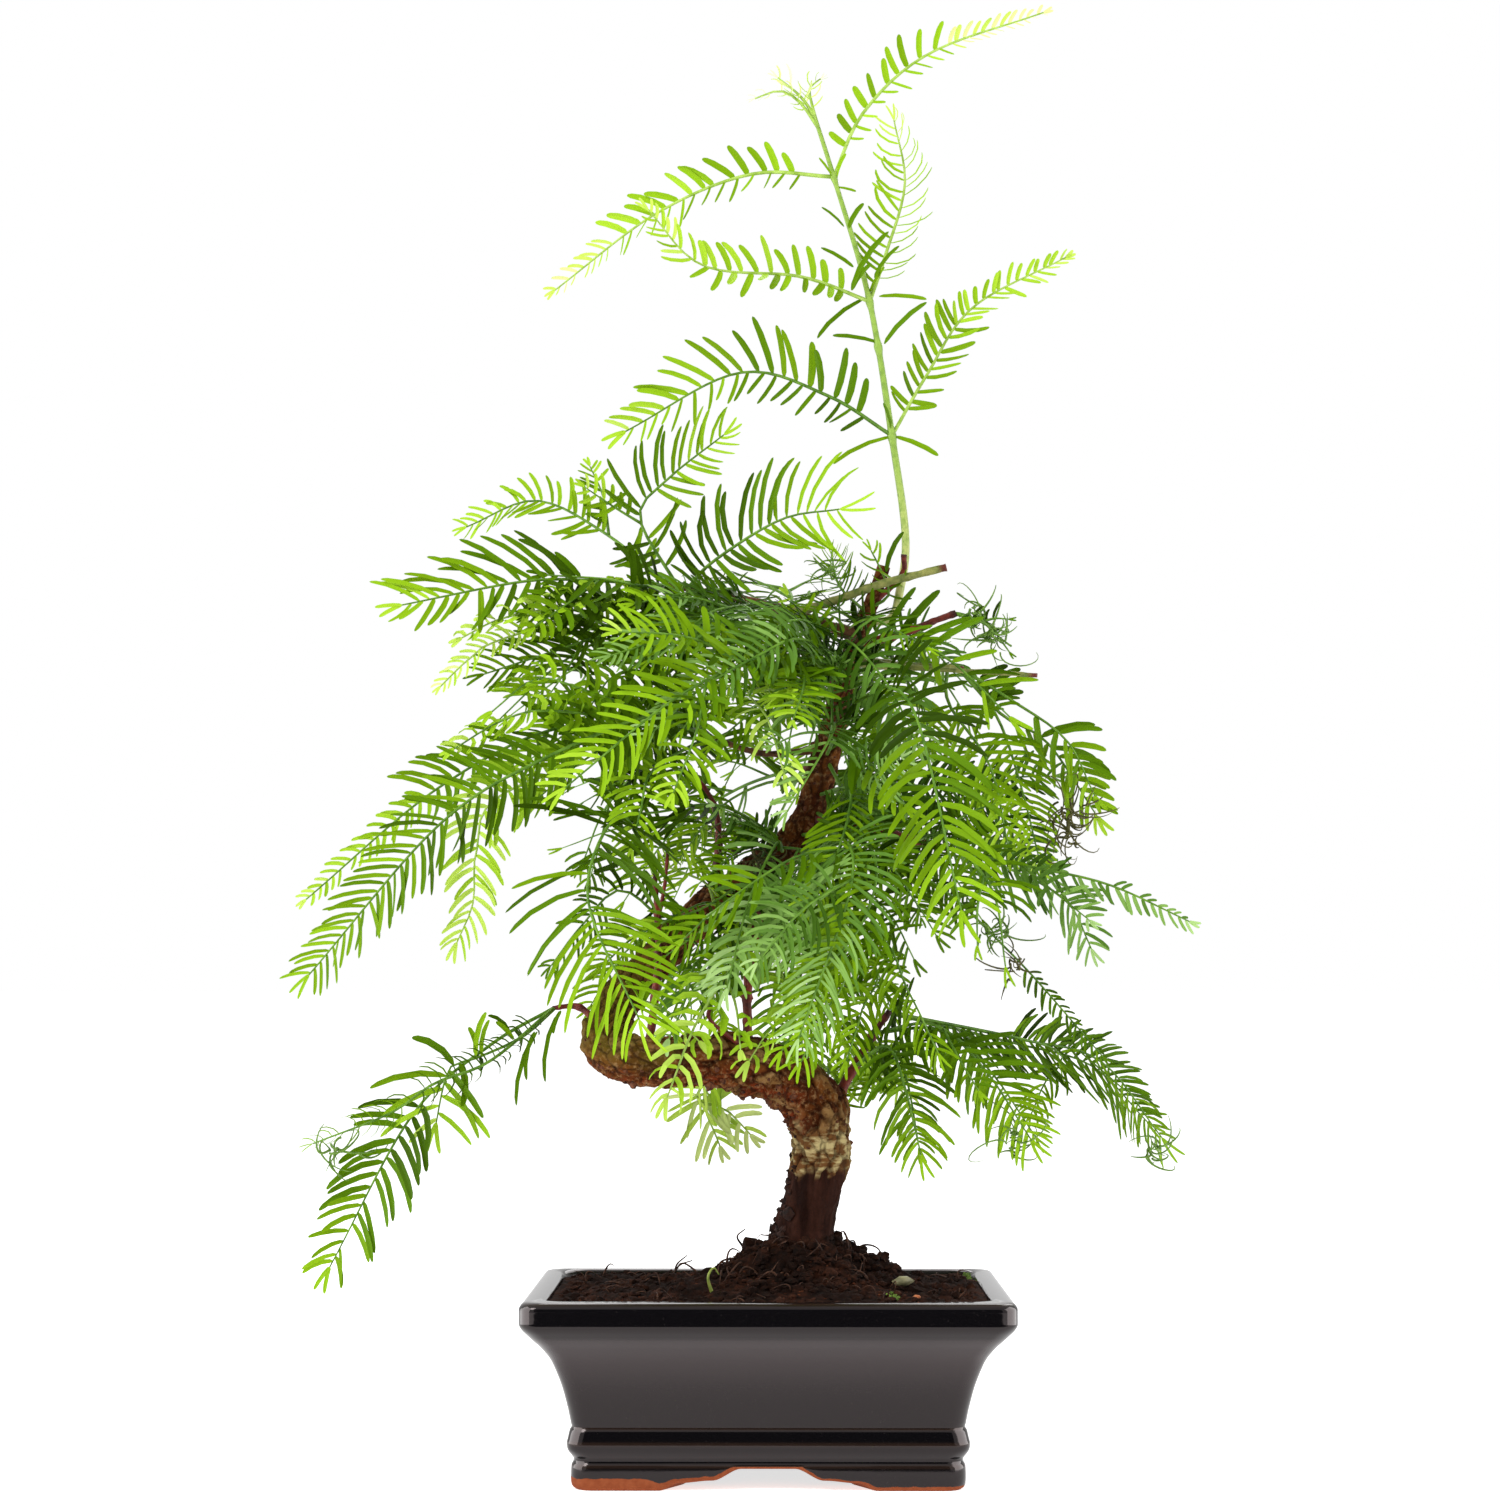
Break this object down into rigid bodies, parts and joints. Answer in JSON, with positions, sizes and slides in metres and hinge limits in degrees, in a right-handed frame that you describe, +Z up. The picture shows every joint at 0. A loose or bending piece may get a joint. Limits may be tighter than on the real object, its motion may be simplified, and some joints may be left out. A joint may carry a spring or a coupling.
{
  "type": "potted dawn redwood bonsai",
  "caption": "Dawn redwood grown as a bonsai: S-bent trunk, feathery sprays of soft green needles and a tall thin leader, in a glazed rectangular pot with flared sides.",
  "frame": {"origin": "middle of the bounding box's footprint, on the plane the pot's feet stand on", "axes": "+Z up along the tree; +Y from the front of the pot to its back, the shortest extent; +X to the right along the pot's long side"},
  "size_m": [0.3426, 0.2386, 0.569],
  "materials": {
    "pot": "glossy black glaze, bare terracotta along the foot",
    "soil": "dark crumbly potting soil, matte",
    "trunk": "fibrous red-brown bark with mossy patches",
    "bark": "smooth red-brown young bark",
    "green_shoot": "green young shoot, satin",
    "needles": "soft flat needles, satin"
  },
  "bodies": {
    "root": {"back_crest": "needles", "back_fall": "needles", "back_high": "bark", "back_left": "needles", "back_low": "bark", "back_mid": "bark", "back_right": "needles", "behind_left": "needles", "bib": "needles", "big_hang": "needles", "brow": "needles", "centre_fan": "needles", "centre_left": "needles", "crest": "needles", "crest_far": "needles", "crown": "needles", "diagonal": "needles", "face": "needles", "fan": "needles", "high_left": "needles", "high_right": "needles", "inner": "needles", "lap": "needles", "leader": "green_shoot", "left_fill": "needles", "left_mid": "bark", "long_lower": "needles", "long_upper": "needles", "low_left": "bark", "low_left_hang": "needles", "low_right": "bark", "out_left": "needles", "pot": "pot", "pruned": "bark", "red_left": "bark", "red_mid": "bark", "red_shoot": "bark", "right_drop": "needles", "right_face": "needles", "right_far": "needles", "right_hang": "needles", "right_mid": "bark", "right_shoulder": "needles", "right_top": "needles", "right_twig": "bark", "ruffle": "needles", "second_left": "needles", "second_right": "needles", "skirt_in": "needles", "skirt_mid": "needles", "skirt_out": "needles", "soil": "soil", "third_left": "needles", "third_right": "needles", "tip": "needles", "trunk": "trunk", "under_bend": "needles", "under_left": "needles", "upper_left": "bark", "upper_right": "bark"}
  },
  "joints": []
}
